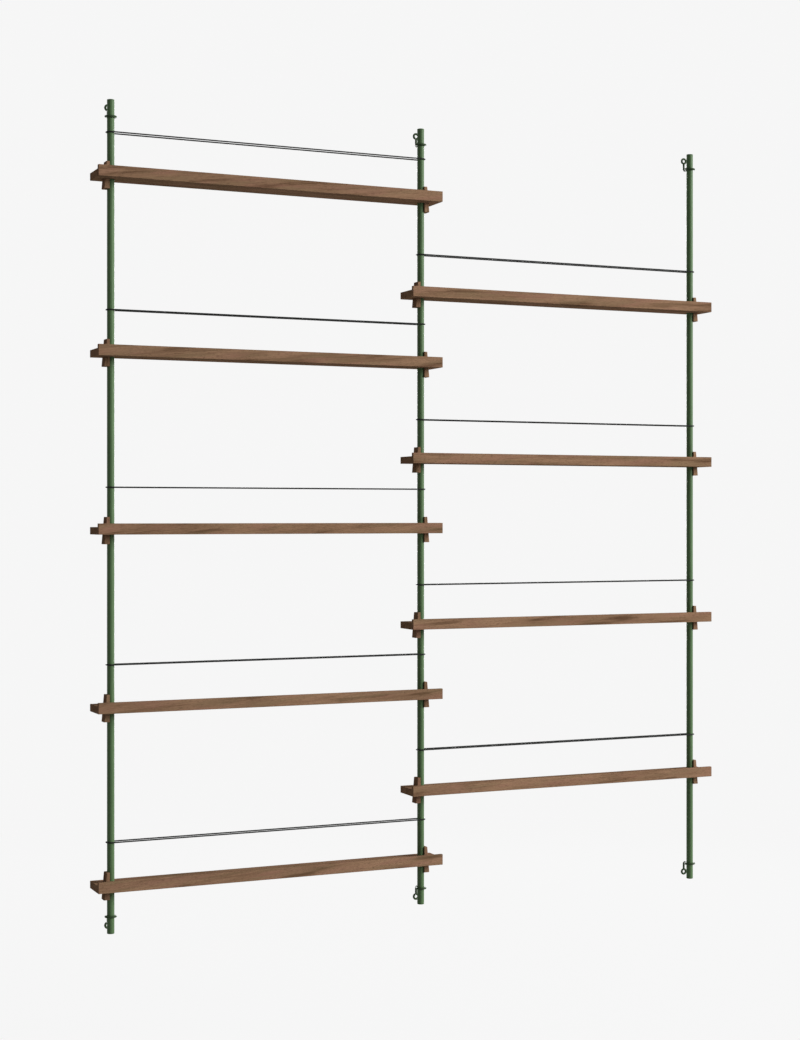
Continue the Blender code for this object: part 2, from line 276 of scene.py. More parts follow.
def blotches(tree, vector, low, high, **pattern):
    """Stretched noise, of which the part from low to high is spread over 0 to 1."""
    return ramp(tree, noise(tree, vector, **pattern), low, high)


def mix_colour(tree, share, first, second, blend="MIX"):
    """Two colours mixed by a share."""
    node = add_node(tree, "ShaderNodeMix", {}, data_type="RGBA", blend_type=blend)
    for position, value in zip(MIX_SHARE_AND_COLOURS, (share, first, second)):
        plug(tree, node.inputs[position], value)
    return node.outputs[MIXED_COLOUR]


def start_group(name, inputs, outputs):
    """A shader group with named sockets, its input node and its output node."""
    tree = bpy.data.node_groups.new(name, "ShaderNodeTree")
    for socket, kind in inputs.items():
        tree.interface.new_socket(name=socket, in_out="INPUT", socket_type=kind)
    for socket, kind in outputs.items():
        tree.interface.new_socket(name=socket, in_out="OUTPUT", socket_type=kind)
    return tree, tree.nodes.new("NodeGroupInput").outputs, tree.nodes.new("NodeGroupOutput").inputs


print("helpers:", [helper.__name__ for helper in (maths, noise, ramp, blotches, mix_colour, start_group)])

# %% [markdown]
# ## What fumed oak shows
# Oak that has been fumed goes brown right through, and its long open pores go darker still. The brown isn't
# even: it drifts to red and to olive, and dark flames run along the grain. Growth rings round the pith,
# fine pores in the early wood of each ring and pale ray flecks make it read as oak.
# Apart from the rings, each of these marks is a noise with so many cycles a metre along the trunk and
# across it, and it shows where the noise passes the range from low to high. A depth says how much a mark
# darkens the wood, and a share how far it pulls the colour to its own. Where marks meet, their depths add
# up to more than 1, and the mix stops at the dark colour.

# %% The marks of the oak
RING_WANDER = 0.009
WANDER = {"stretch": (3.2, 14.0, 14.0), "detail": 2.0}
LATE_WOOD = {"low": 0.40, "high": 0.95}
PATCHES = {"stretch": (5.0, 40.0, 40.0), "detail": 4.0, "roughness": 0.55, "low": 0.36, "high": 0.64}
FLAMES = {"stretch": (6.5, 105.0, 105.0), "detail": 2.0, "low": 0.52, "high": 0.70}
REDS = {"stretch": (9.0, 62.0, 62.0), "detail": 2.0, "low": 0.48, "high": 0.66}
OLIVES = {"stretch": (7.5, 80.0, 80.0), "detail": 2.0, "low": 0.50, "high": 0.68}
STREAKS = {"stretch": (16.0, 480.0, 480.0), "detail": 3.0, "roughness": 0.6, "low": 0.30, "high": 0.70}
PORES = {"stretch": (105.0, 2600.0, 2600.0), "detail": 1.0, "low": 0.56, "high": 0.66}
PORES_IN_LATE_WOOD = {"low": 0.2, "high": 0.9, "to_low": 1.0, "to_high": 0.35}
FLECKS = {"stretch": (40.0, 90.0, 55.0), "detail": 1.0, "low": 0.60, "high": 0.72}
PATCH_DEPTH = 0.34
FLAME_DEPTH = 0.50
STREAK_DEPTH = 0.22
LATE_DEPTH = 0.20
RED_SHARE = 0.55
OLIVE_SHARE = 0.45
FLECK_SHARE = 0.30
PORE_SHARE = 0.62
OAK_ROUGHNESS = 0.72
PORE_ROUGHNESS = 0.16
STREAK_ROUGHNESS = 0.08
STREAK_RELIEF = 0.25
print("sum of the depths:", round(PATCH_DEPTH + FLAME_DEPTH + STREAK_DEPTH + LATE_DEPTH, 2))

# %% [markdown]
# ## Wood as a formula
# All the marks come from the grain attribute, so they line up round every corner. The distance from the
# pith, with a little wander, gives the rings. The flecks follow the rays, which run out from the pith, so
# their noise is laid over the place along the trunk, the distance from the pith and the angle round it. The
# marks then cover each other in turn, and the pores come last.

# %% The oak group


def make_oak_figure():
    """The figure of the wood: its colour, roughness and height at a place in the tree."""
    tree, given, out = start_group(
        "oak_figure",
        {"Grain": "NodeSocketVector", "Light": "NodeSocketColor", "Dark": "NodeSocketColor",
         "Red": "NodeSocketColor", "Olive": "NodeSocketColor", "Pore": "NodeSocketColor",
         "Ring Width": "NodeSocketFloat"},
        {"Color": "NodeSocketColor", "Roughness": "NodeSocketFloat", "Height": "NodeSocketFloat"})
    grain = given["Grain"]
    axes = add_node(tree, "ShaderNodeSeparateXYZ", {0: grain}).outputs
    radius = length(tree, stretched(tree, grain, (0.0, 1.0, 1.0)))
    wander = maths(tree, "MULTIPLY", noise(tree, grain, **WANDER), RING_WANDER)
    rings = maths(tree, "DIVIDE", maths(tree, "ADD", radius, wander), given["Ring Width"])
    late = ramp(tree, maths(tree, "FRACT", rings), **LATE_WOOD)

    patches = blotches(tree, grain, **PATCHES)
    flames = blotches(tree, grain, **FLAMES)
    reds = blotches(tree, grain, **REDS)
    olives = blotches(tree, grain, **OLIVES)
    streaks = blotches(tree, grain, **STREAKS)
    pores = blotches(tree, grain, **PORES)
    pores = maths(tree, "MULTIPLY", pores, ramp(tree, late, **PORES_IN_LATE_WOOD))
    turn = maths(tree, "ARCTAN2", axes["Z"], axes["Y"])
    flecks = blotches(tree, joined(tree, axes["X"], radius, turn), **FLECKS)

    depth = maths(tree, "MULTIPLY", patches, PATCH_DEPTH)
    for mark, weight in ((flames, FLAME_DEPTH), (streaks, STREAK_DEPTH), (late, LATE_DEPTH)):
        depth = maths(tree, "ADD", depth, maths(tree, "MULTIPLY", mark, weight))
    colour = mix_colour(tree, depth, given["Light"], given["Dark"])
    for mark, share, tint in ((reds, RED_SHARE, "Red"), (olives, OLIVE_SHARE, "Olive"),
                              (flecks, FLECK_SHARE, "Light"), (pores, PORE_SHARE, "Pore")):
        colour = mix_colour(tree, maths(tree, "MULTIPLY", mark, share), colour, given[tint])
    tree.links.new(colour, out["Color"])

    rough = maths(tree, "ADD", maths(tree, "MULTIPLY", pores, PORE_ROUGHNESS),
                  maths(tree, "MULTIPLY", streaks, STREAK_ROUGHNESS))
    tree.links.new(maths(tree, "ADD", rough, OAK_ROUGHNESS), out["Roughness"])
    height = maths(tree, "SUBTRACT", maths(tree, "MULTIPLY", streaks, STREAK_RELIEF), pores)
    tree.links.new(height, out["Height"])
    return tree


OAK_FIGURE = make_oak_figure()
print("oak group nodes:", len(OAK_FIGURE.nodes))

# %% [markdown]
# ## Powder coat and handled edges
# Powder is sprayed on as dust and melts into a skin, which draws up into a very fine orange peel and leaves
# the colour a touch uneven. One group serves the green legs, the dark green wall eyes and the black wires,
# with another size of peel for each. A second group rubs the eased edges, where hands and cloths take the
# finish down first.

# %% The coat group and the edge group
PEEL_DETAIL = 2.0
CLOUDS = {"stretch": (34.0, 34.0, 11.0), "detail": 3.0, "roughness": 0.55}
CLOUD_SHADE = {"low": 0.25, "high": 0.75, "to_low": 0.90, "to_high": 1.08}
CLOUD_ROUGHNESS = {"low": 0.2, "high": 0.8, "to_low": 0.38, "to_high": 0.50}
RUBBED_SPOTS = {"stretch": (60.0, 60.0, 60.0), "detail": 3.0, "low": 0.35, "high": 0.65}


def make_powder_skin():
    """The skin of a powder coat: its uneven tone, its roughness and its orange peel."""
    tree, given, out = start_group(
        "powder_skin",
        {"Place": "NodeSocketVector", "Color": "NodeSocketColor", "Peel": "NodeSocketFloat"},
        {"Color": "NodeSocketColor", "Roughness": "NodeSocketFloat", "Height": "NodeSocketFloat"})
    peel_size = joined(tree, given["Peel"], given["Peel"], given["Peel"])
    peel = noise(tree, given["Place"], stretch=peel_size, detail=PEEL_DETAIL)
    cloud = noise(tree, given["Place"], **CLOUDS)
    shade = ramp(tree, cloud, **CLOUD_SHADE)
    grey = joined(tree, shade, shade, shade)
    tree.links.new(mix_colour(tree, 1.0, given["Color"], grey, "MULTIPLY"), out["Color"])
    tree.links.new(ramp(tree, cloud, **CLOUD_ROUGHNESS), out["Roughness"])
    tree.links.new(peel, out["Height"])
    return tree


def make_rubbed_edge():
    """A finish that is worn in spots along the eased edges."""
    tree, given, out = start_group(
        "rubbed_edge",
        {"Place": "NodeSocketVector", "Arris": "NodeSocketFloat", "Color": "NodeSocketColor",
         "Rubbed": "NodeSocketColor", "Amount": "NodeSocketFloat"},
        {"Color": "NodeSocketColor", "Mask": "NodeSocketFloat"})
    spots = blotches(tree, given["Place"], **RUBBED_SPOTS)
    mask = maths(tree, "MULTIPLY", maths(tree, "MULTIPLY", given["Arris"], spots), given["Amount"])
    tree.links.new(mix_colour(tree, mask, given["Color"], given["Rubbed"]), out["Color"])
    tree.links.new(mask, out["Mask"])
    return tree


POWDER_SKIN = make_powder_skin()
RUBBED_EDGE = make_rubbed_edge()
print("groups:", [group.name for group in (OAK_FIGURE, POWDER_SKIN, RUBBED_EDGE)])

# %% [markdown]
# ## The finishes
# Each material places the groups with its own colours and feeds one Principled shader. The wood and the
# coats are all close to matt, so the shader's specular level is low, and the bump is a few hundredths of a
# millimetre. The wall eyes have the hue of the legs in a much darker tone, and the wires are plain black.

# %% Materials
OAK_LIGHT = (0.355, 0.213, 0.130, 1.0)
OAK_DARK = (0.127, 0.070, 0.038, 1.0)
OAK_RED = (0.307, 0.161, 0.110, 1.0)
OAK_OLIVE = (0.228, 0.158, 0.088, 1.0)
OAK_PORE = (0.075, 0.040, 0.023, 1.0)
OAK_RUBBED = (0.330, 0.200, 0.125, 1.0)
GREEN = (0.0945, 0.165, 0.0740, 1.0)
GREEN_RUBBED = (0.1460, 0.221, 0.1150, 1.0)
LOOP_BLACK = (0.020, 0.021, 0.020, 1.0)
EYE_GREEN = (0.0360, 0.063, 0.0270, 1.0)
EYE_RUBBED = (0.0690, 0.112, 0.0550, 1.0)
BLACK_RUBBED = (0.090, 0.092, 0.087, 1.0)
RING_WIDTH = 0.0034
OAK_RUB = 0.45
OAK_BUMP = 0.00006
PEEL_BUMP = 0.00003


def start_material(name, specular):
    """A material with its Principled shader and the Object place and arris that all finishes read."""
    material = bpy.data.materials.new(name)
    material.use_nodes = True
    tree = material.node_tree
    shader = tree.nodes["Principled BSDF"]
    shader.inputs["Specular IOR Level"].default_value = specular
    place = tree.nodes.new("ShaderNodeTexCoord").outputs["Object"]
    arris = add_node(tree, "ShaderNodeAttribute", {}, attribute_name="arris").outputs["Fac"]
    return material, tree, shader, place, arris


def place_group(tree, group, inputs):
    """A group placed in a material, with its inputs set or linked."""
    return add_node(tree, "ShaderNodeGroup", inputs, node_tree=group).outputs


def dress(tree, shader, surface, edge, bump):
    """Plug a surface group, an edge group and a bump into the shader."""
    tree.links.new(edge["Color"], shader.inputs["Base Color"])
    tree.links.new(surface["Roughness"], shader.inputs["Roughness"])
    relief = {"Height": surface["Height"], "Distance": bump, "Strength": 1.0}
    tree.links.new(add_node(tree, "ShaderNodeBump", relief).outputs["Normal"], shader.inputs["Normal"])


def make_oak(name, light, dark):
    """Fumed oak with a matt oil on it."""
    material, tree, shader, place, arris = start_material(name, specular=0.0)
    grain = add_node(tree, "ShaderNodeAttribute", {}, attribute_name="grain").outputs["Vector"]
    figure = place_group(tree, OAK_FIGURE, {
        "Grain": grain, "Light": light, "Dark": dark, "Red": OAK_RED, "Olive": OAK_OLIVE,
        "Pore": OAK_PORE, "Ring Width": RING_WIDTH})
    edge = place_group(tree, RUBBED_EDGE, {
        "Place": place, "Arris": arris, "Color": figure["Color"], "Rubbed": OAK_RUBBED, "Amount": OAK_RUB})
    dress(tree, shader, figure, edge, OAK_BUMP)
    return material


def make_coat(name, colour, rubbed, peel, rub, specular):
    """Satin powder coat on steel."""
    material, tree, shader, place, arris = start_material(name, specular)
    skin = place_group(tree, POWDER_SKIN, {"Place": place, "Color": colour, "Peel": peel})
    edge = place_group(tree, RUBBED_EDGE, {
        "Place": place, "Arris": arris, "Color": skin["Color"], "Rubbed": rubbed, "Amount": rub})
    dress(tree, shader, skin, edge, PEEL_BUMP)
    return material


OAK = make_oak("fumed_oak", OAK_LIGHT, OAK_DARK)
LEG_COAT = make_coat("green_coat", GREEN, GREEN_RUBBED, peel=900.0, rub=0.5, specular=0.12)
PLUG_COAT = make_coat("green_plug", GREEN, GREEN_RUBBED, peel=1600.0, rub=0.7, specular=0.10)
LOOP_COAT = make_coat("loop_black", LOOP_BLACK, BLACK_RUBBED, peel=1400.0, rub=0.5, specular=0.06)
EYE_COAT = make_coat("eye_green", EYE_GREEN, EYE_RUBBED, peel=1400.0, rub=0.5, specular=0.10)
print("materials:", [material.name for material in (OAK, LEG_COAT, PLUG_COAT, LOOP_COAT, EYE_COAT)])

# %% [markdown]
# ## Legs and plugs
# A leg is a length of round steel tube, sawn square, with the saw's burr taken off its rims. It is turned
# here as on a lathe: a rectangle of four points beside the axis is spun once round it. A plug closes each
# end. Its head shows as a thin cap with a rounded edge, and its barbed spigot grips the bore.

# %% Turned pieces
LEG_SIDES = 72
TUBE_WALL = 0.0015
RIM_EASE = 0.0003
RIM_STEPS = 3
RIM_MARGIN = RIM_EASE / 2
HEAD_ROUND = 0.0009
HEAD_STEPS = 5
PLUG_GAP = 0.0003
BARB = 0.0004
SPIGOT_TAPER = 0.0008


def spun(profile, centre, sides, closed):
    """Spin a profile of (radius, height) points round an upright axis."""
    bm = bmesh.new()
    verts = [bm.verts.new((centre.x + radius, centre.y, height)) for radius, height in profile]
    ends = verts[1:] + verts[:1] if closed else verts[1:]
    edges = [bm.edges.new(pair) for pair in zip(verts, ends)]
    bmesh.ops.spin(bm, geom=verts + edges, cent=centre, axis=UP, angle=math.tau, steps=sides,
                   use_merge=True)
    bmesh.ops.remove_doubles(bm, verts=bm.verts, dist=MERGE_DISTANCE)
    return bm


def rings_at(bm, centre, radius, heights):
    """The edges that run round the axis at one radius and at any of some heights."""
    found = []
    for edge in bm.edges:
        reaches = [(vert.co.xy - centre.xy).length for vert in edge.verts]
        levels = [vert.co.z for vert in edge.verts]
        if max(abs(reach - radius) for reach in reaches) < RIM_MARGIN and any(
                max(abs(level - height) for level in levels) < RIM_MARGIN for height in heights):
            found.append(edge)
    return found


def make_leg(leg):
    """One tube with eased outer rims."""
    node = f"{leg}_leg"
    low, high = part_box(node)
    centre = middle(node)
    bore = LEG_RADIUS - TUBE_WALL
    profile = [(LEG_RADIUS, low.z), (LEG_RADIUS, high.z), (bore, high.z), (bore, low.z)]
    bm = spun(profile, centre, LEG_SIDES, closed=True)
    eased = ease(bm, rings_at(bm, centre, LEG_RADIUS, (low.z, high.z)), RIM_EASE, RIM_STEPS)
    return finish_piece(node, bm, LEG_COAT, "leg_paint", eased)


def make_plug(leg, end):
    """The plug in one end of a leg: a rounded head, a neck and a barb that tapers inward."""
    node = f"{leg}_leg_{end}_plug"
    low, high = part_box(node)
    leg_low, leg_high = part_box(f"{leg}_leg")
    up = END_SIGNS[end]
    outer, inner, rim = (high.z, low.z, leg_high.z) if up > 0 else (low.z, high.z, leg_low.z)
    seat = rim + up * PLUG_GAP
    spigot = LEG_RADIUS - TUBE_WALL - PLUG_GAP
    neck = spigot - BARB
    half_way = (seat + inner) / 2
    profile = [(0.0, outer), (LEG_RADIUS, outer), (LEG_RADIUS, seat), (neck, seat), (neck, half_way),
               (spigot, half_way - up * BARB), (spigot, inner + up * SPIGOT_TAPER), (neck, inner),
               (0.0, inner)]
    centre = middle(node)
    bm = spun(profile, centre, LEG_SIDES, closed=False)
    eased = ease(bm, rings_at(bm, centre, LEG_RADIUS, (outer,)), HEAD_ROUND, HEAD_STEPS)
    return finish_piece(node, bm, PLUG_COAT, "plug_paint", eased)


for leg in LEG_NAMES:
    made = [make_leg(leg)] + [make_plug(leg, end) for end in END_SIGNS]
    print("turned:", [piece.name for piece in made])

# %% [markdown]
# ## Bending wire
# Eyes and loops are round wire bent cold on a jig, so the code works as the jig does. It starts with the
# wire's round section, feeds it straight on, and bends it round a post. Extruding the last ring of edges is
# a feed, and spinning it round the post is a bend. The section stays round and the wire never gets thinner,
# whatever the route.

# %% The wire jig
WIRE_SIDES = 16
TIP_EASE = 0.0004
TIP_STEPS = 3


def cut_wire(start, heading, radius):
    """A new wire: its round section, square to its heading."""
    bm = bmesh.new()
    turn = heading.to_track_quat("Z", "Y").to_matrix().to_4x4()
    bmesh.ops.create_circle(bm, cap_ends=False, segments=WIRE_SIDES, radius=radius,
                            matrix=Matrix.Translation(start) @ turn)
    return bm, list(bm.edges)


def feed(bm, ring, along):
    """Push the wire straight on, and give back its new last ring."""
    made = bmesh.ops.extrude_edge_only(bm, edges=ring)["geom"]
    fresh = [part for part in made if isinstance(part, bmesh.types.BMVert)]
    bmesh.ops.translate(bm, verts=fresh, vec=along)
    moved = set(fresh)
    return [part for part in made
            if isinstance(part, bmesh.types.BMEdge) and all(vert in moved for vert in part.verts)]


def bend(bm, ring, post, axis, angle, steps):
    """Bend the wire round a post, and give back its new last ring."""
    verts = list({vert for edge in ring for vert in edge.verts})
    made = bmesh.ops.spin(bm, geom=verts + ring, cent=post, axis=axis, angle=angle, steps=steps,
                          use_merge=False)
    return [part for part in made["geom_last"] if isinstance(part, bmesh.types.BMEdge)]


def close_tip(bm, ring):
    """Close a cut end and take its sharp edge off."""
    bmesh.ops.edgeloop_fill(bm, edges=ring)
    return ease(bm, ring, TIP_EASE, TIP_STEPS)


print("helpers:", [helper.__name__ for helper in (cut_wire, feed, bend, close_tip)])

# %% [markdown]
# ## Wall eyes
# One wire makes a whole wall eye. It clasps the leg in a ring that slopes down to its front, leaves it
# through a small reverse bend beside the leg's axis, runs to the wall, turns along it and curls into the
# round eye that a screw goes through. Both rings end in a cut tip that stops just short of the wire. The
# function bends from the tip at the leg to the tip at the wall, and takes the eye's centre from the frame's
# mount for that screw.

# %% Wall eyes
EYE_WIRE = 0.0025
EYE_RING = 0.0057
EYE_CORNER = 0.0030
EYE_BEND = 0.0057
EYE_RISE = 0.0242
RUN_BEND = 0.005
CLASP_GAP = 0.0003
CLASP_SLOPE = math.atan(0.06)
CLASP_TIP = math.radians(8.0)
EYE_TIP = math.radians(25.0)
CLASP_STEPS = 48
EYE_STEPS = 36
BEND_STEPS = 10
LEVEL_STEPS = 2
QUARTER_TURN = math.pi / 2
MOUNT_AT = {mount["name"]: Vector(mount["pos_m"]) for mount in frame["record"]["mounts"]}


def turn_off(ring, aside):
    """How far from a ring's centre its straight wire, which may pass beside the centre, turns off."""
    return math.sqrt((ring + EYE_CORNER) ** 2 - (aside + EYE_CORNER) ** 2)


def make_wall_eye(leg, end):
    """One wire from its tip at the leg, round the leg, to the wall and round the screw's eye."""
    node = f"{leg}_{end}_wall_eye"
    up = END_SIGNS[end]
    axis = middle(f"{leg}_leg")
    eye = MOUNT_AT[f"{leg}_{end}_eye"] - TO_WALL * EYE_WIRE
    aside = eye.x - axis.x
    run_z = eye.z - up * EYE_RISE
    clasp = LEG_RADIUS + CLASP_GAP + EYE_WIRE
    reach = turn_off(clasp, aside)
    along = TO_WALL * math.cos(CLASP_SLOPE) + UP * up * math.sin(CLASP_SLOPE)
    square = RIGHT.cross(along)
    fall = reach * math.sin(CLASP_SLOPE) + RUN_BEND * (1 - math.cos(CLASP_SLOPE))
    post = Vector((axis.x, axis.y, run_z - up * fall))
    tip = QUARTER_TURN + CLASP_TIP
    start = post + clasp * (RIGHT * math.cos(tip) + along * math.sin(tip))
    bm, first = cut_wire(start, along * math.cos(tip) - RIGHT * math.sin(tip), EYE_WIRE)

    join = math.atan2(reach, aside + EYE_CORNER)
    ring = bend(bm, first, post, square, math.tau - tip + join, CLASP_STEPS)
    corner_post = post + RIGHT * (aside + EYE_CORNER) + along * reach
    ring = bend(bm, ring, corner_post, square, -join, BEND_STEPS)
    level = post + RIGHT * aside + along * reach
    ring = bend(bm, ring, level - square * up * RUN_BEND, RIGHT, -up * CLASP_SLOPE, LEVEL_STEPS)
    run = eye.y - EYE_BEND - (level.y + RUN_BEND * math.sin(CLASP_SLOPE))
    ring = feed(bm, ring, TO_WALL * run)

    wall_post = Vector((eye.x, eye.y - EYE_BEND, run_z + up * EYE_BEND))
    ring = bend(bm, ring, wall_post, RIGHT, up * QUARTER_TURN, BEND_STEPS)
    eye_reach = turn_off(EYE_RING, 0.0)
    ring = feed(bm, ring, UP * up * (EYE_RISE - eye_reach - EYE_BEND))
    eye_join = math.atan2(eye_reach, EYE_CORNER)
    eye_post = eye + RIGHT * EYE_CORNER - UP * up * eye_reach
    ring = bend(bm, ring, eye_post, TO_WALL, up * eye_join, BEND_STEPS)
    last = bend(bm, ring, eye, TO_WALL, -up * (3 * QUARTER_TURN - EYE_TIP + eye_join), EYE_STEPS)
    eased = list(close_tip(bm, first)) + list(close_tip(bm, last))
    return finish_piece(node, bm, EYE_COAT, "black_wire", eased)


for leg in LEG_NAMES:
    print("bent:", [make_wall_eye(leg, end).name for end in END_SIGNS])

# %% [markdown]
# ## Magazine wires
# The loop over each shelf is thinner wire, bent round both legs and butt-welded into an endless band. Two
# straight strands pass in front of the legs and behind them, and magazines stand in the slot between. The
# jig needs only two feeds and two half turns, and merging the last ring with the first closes the band.

# %% Magazine wires
LOOP_WIRE = 0.0015
LOOP_STEPS = 28
WELD_DISTANCE = 0.00001


def make_magazine_wire(label):
    """The closed loop above one shelf, round both of its legs."""
    node = f"{label}_wire"
    level = middle(node).z
    left, right = [leg + UP * level for leg in legs_of(label)]
    turn = LEG_RADIUS + CLASP_GAP + LOOP_WIRE
    span = right - left
    bm, ring = cut_wire(left - TO_WALL * turn, RIGHT, LOOP_WIRE)
    ring = feed(bm, ring, span)
    ring = bend(bm, ring, right, UP, math.pi, LOOP_STEPS)
    ring = feed(bm, ring, -span)
    bend(bm, ring, left, UP, math.pi, LOOP_STEPS)
    bmesh.ops.remove_doubles(bm, verts=bm.verts, dist=WELD_DISTANCE)
    return finish_piece(node, bm, LOOP_COAT, "black_wire")


print("loops:", [make_magazine_wire(label).name for label in SHELF_LABELS])

# %% [markdown]
# ## Lips
# A lip is a planed strip glued along the board's front edge. It is flush with the underside and stands
# above the top, to keep magazines from sliding off. A cube is scaled to the strip, and its free arrises get
# the small round that a few strokes of sandpaper leave.

# %% Lips
LIP_EASE = 0.0009
LIP_STEPS = 5
LIP_NUMBER = 40
GLUE_LINE = 0.00005


def box_between(low, high):
    """A box between two corners."""
    bm = bmesh.new()
    size = Matrix.Diagonal((high - low).to_4d())
    bmesh.ops.create_cube(bm, size=1.0, matrix=Matrix.Translation((low + high) / 2) @ size)
    return bm


def make_lip(label, number):
    """The strip on one board's front, eased at its front and its top."""
    node = f"{label}_lip"
    low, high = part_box(node)
    board_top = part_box(f"{label}_board")[1].z
    bm = box_between(low, high)
    free = [edge for edge in bm.edges
            if min(vert.co.y for vert in edge.verts) < low.y + LIP_EASE
            or min(vert.co.z for vert in edge.verts) > board_top]
    eased = ease(bm, free, LIP_EASE, LIP_STEPS)
    lay_grain(bm, (low + high) / 2, LIP_NUMBER + number)
    return finish_piece(node, bm, OAK, "oak", eased)


print("lips:", len([make_lip(label, number) for number, label in enumerate(SHELF_LABELS)]))

# %% [markdown]
# ## Wedges
# A wedge is half a wooden sleeve. Its groove hugs the outer side of the leg, and its flat back slopes, so
# it is thicker below the board than above. The board's weight pulls it down onto the thick part and jams
# it.
# The plan is drawn at the foot: one vertex spun round the leg makes the groove, and four corners close the
# outline. The plan is filled and lifted, the back is pushed in at the top for the slope, and then the edges
# are rounded. Edges are picked by where they lie, with a small margin for rounding errors.

# %% Wedges
GROOVE = LEG_RADIUS + CLASP_GAP
GROOVE_STEPS = 22
WEDGE_CHEEK = 0.005
WEDGE_BACK_AT_FOOT = 0.018
WEDGE_BACK_AT_TOP = 0.0128
WEDGE_CORNER = 0.0025
WEDGE_CORNER_STEPS = 6
WEDGE_EASE = 0.0008
WEDGE_EASE_STEPS = 4
WEDGE_NUMBER = 80
PICK_MARGIN = 0.0003


def wedge_sizes(label):
    """Foot level, height, half width and slope of the wedges on one shelf."""
    low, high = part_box(f"{label}_left_wedge")
    height = high.z - low.z
    return low.z, height, (high.y - low.y) / 2, (WEDGE_BACK_AT_FOOT - WEDGE_BACK_AT_TOP) / height


def lift(bm, faces, height):
    """Extrude a flat plan upward, and give back the vertices of its top."""
    made = bmesh.ops.extrude_face_region(bm, geom=faces)["geom"]
    top = [part for part in made if isinstance(part, bmesh.types.BMVert)]
    bmesh.ops.translate(bm, verts=top, vec=UP * height)
    return top


def draw_chain(bm, verts):
    """Join each vertex to the next with an edge."""
    for pair in zip(verts, verts[1:]):
        bm.edges.new(pair)


def make_wedge(label, side, number):
    """One wedge, on the outer side of the left or the right leg of its shelf."""
    node = f"{label}_{side}_wedge"
    foot, height, half_width, slope = wedge_sizes(label)
    out, leg = (-RIGHT, legs_of(label)[0]) if side == "left" else (RIGHT, legs_of(label)[1])
    axis = leg + UP * foot
    half_mouth = math.sqrt(GROOVE ** 2 - WEDGE_CHEEK ** 2)
    sweep = 2 * math.atan2(half_mouth, WEDGE_CHEEK) * out.x
    bm = bmesh.new()
    first = bm.verts.new(axis + out * WEDGE_CHEEK - TO_WALL * half_mouth)
    groove = bmesh.ops.spin(bm, geom=[first], cent=axis, axis=UP, angle=sweep, steps=GROOVE_STEPS,
                            use_merge=False)
    last = [part for part in groove["geom_last"] if isinstance(part, bmesh.types.BMVert)]
    corners = [bm.verts.new(axis + out * reach + TO_WALL * aside)
               for reach, aside in ((WEDGE_CHEEK, half_width), (WEDGE_BACK_AT_FOOT, half_width),
                                    (WEDGE_BACK_AT_FOOT, -half_width), (WEDGE_CHEEK, -half_width))]
    draw_chain(bm, last + corners + [first])
    plan = bmesh.ops.edgeloop_fill(bm, edges=list(bm.edges))["faces"]

    top = lift(bm, plan, height)
    back = [vert for vert in top if (vert.co - axis).dot(out) > WEDGE_BACK_AT_TOP]
    bmesh.ops.translate(bm, verts=back, vec=-out * slope * height)
    upright = [edge for edge in bm.edges if abs(edge.verts[0].co.z - edge.verts[1].co.z) > height / 2
               and (edge.verts[0].co - axis).dot(out) > GROOVE]
    ease(bm, upright, WEDGE_CORNER, WEDGE_CORNER_STEPS)
    rims = [edge for edge in bm.edges
            if abs(edge.verts[0].co.z - edge.verts[1].co.z) < MERGE_DISTANCE
            and min((vert.co.xy - axis.xy).length for vert in edge.verts) > GROOVE + PICK_MARGIN]
    eased = ease(bm, rims, WEDGE_EASE, WEDGE_EASE_STEPS)
    lay_grain(bm, middle(node), WEDGE_NUMBER + number, upright=True)
    return finish_piece(node, bm, OAK, "oak", eased)


wedges = [make_wedge(label, side, 2 * number + turn)
          for number, label in enumerate(SHELF_LABELS) for turn, side in enumerate(("left", "right"))]
print("wedges:", len(wedges), "faces each:", len(wedges[0].data.polygons))

# %% [markdown]
# ## The slots in a board
# Each board has a slot for either leg. Its inner end is round, and its outer end has the wedge's corners
# and slope. A router and a template cut such slots. Here the board's plan is drawn with the slots as holes,
# filled and lifted, and each slot's outer end is pushed in at the top for the slope. That gives clean walls
# with nothing to cut away.

# %% The plan of a slot
SLOT_GAP = 0.0003
SLOT_STEPS = 28
SLOT_CORNER_STEPS = 5


def draw_slot(bm, leg, out, level, back, half_width):
    """A half turn on the leg's inner side, two straight sides, and two rounded corners at the back."""
    centre = leg + out * (half_width - GROOVE) + UP * level
    start = bm.verts.new(centre + TO_WALL * half_width)
    half_turn = bmesh.ops.spin(bm, geom=[start], cent=centre, axis=UP, angle=math.pi * out.x,
                               steps=SLOT_STEPS, use_merge=False)
    end = [part for part in half_turn["geom_last"] if isinstance(part, bmesh.types.BMVert)]
    corners = [bm.verts.new(leg + out * back + TO_WALL * aside + UP * level)
               for aside in (-half_width, half_width)]
    draw_chain(bm, end + corners + [start])
    bmesh.ops.bevel(bm, geom=corners, offset=WEDGE_CORNER + SLOT_GAP, offset_type="OFFSET",
                    segments=SLOT_CORNER_STEPS, profile=ROUND_PROFILE, affect="VERTICES", material=-1)


print("width of a slot in mm:", round(2000 * (wedge_sizes(SHELF_LABELS[0])[2] + SLOT_GAP), 2))

# %% [markdown]
# ## Boards
# The filled plan starts as triangles, which are dissolved into a few large faces, because a bevel runs
# cleanly only beside large faces. The board stops a hair short of the lip, so the glued joint shows as a
# fine dark line.

# %% Boards
BOARD_EASE = 0.0006
BOARD_STEPS = 4
SLOT_EASE = 0.0004
SLOT_EASE_STEPS = 3
SLOT_MARGIN = 0.003
CORNER_ANGLE = math.radians(60)
FLAT_ANGLE = math.radians(1)


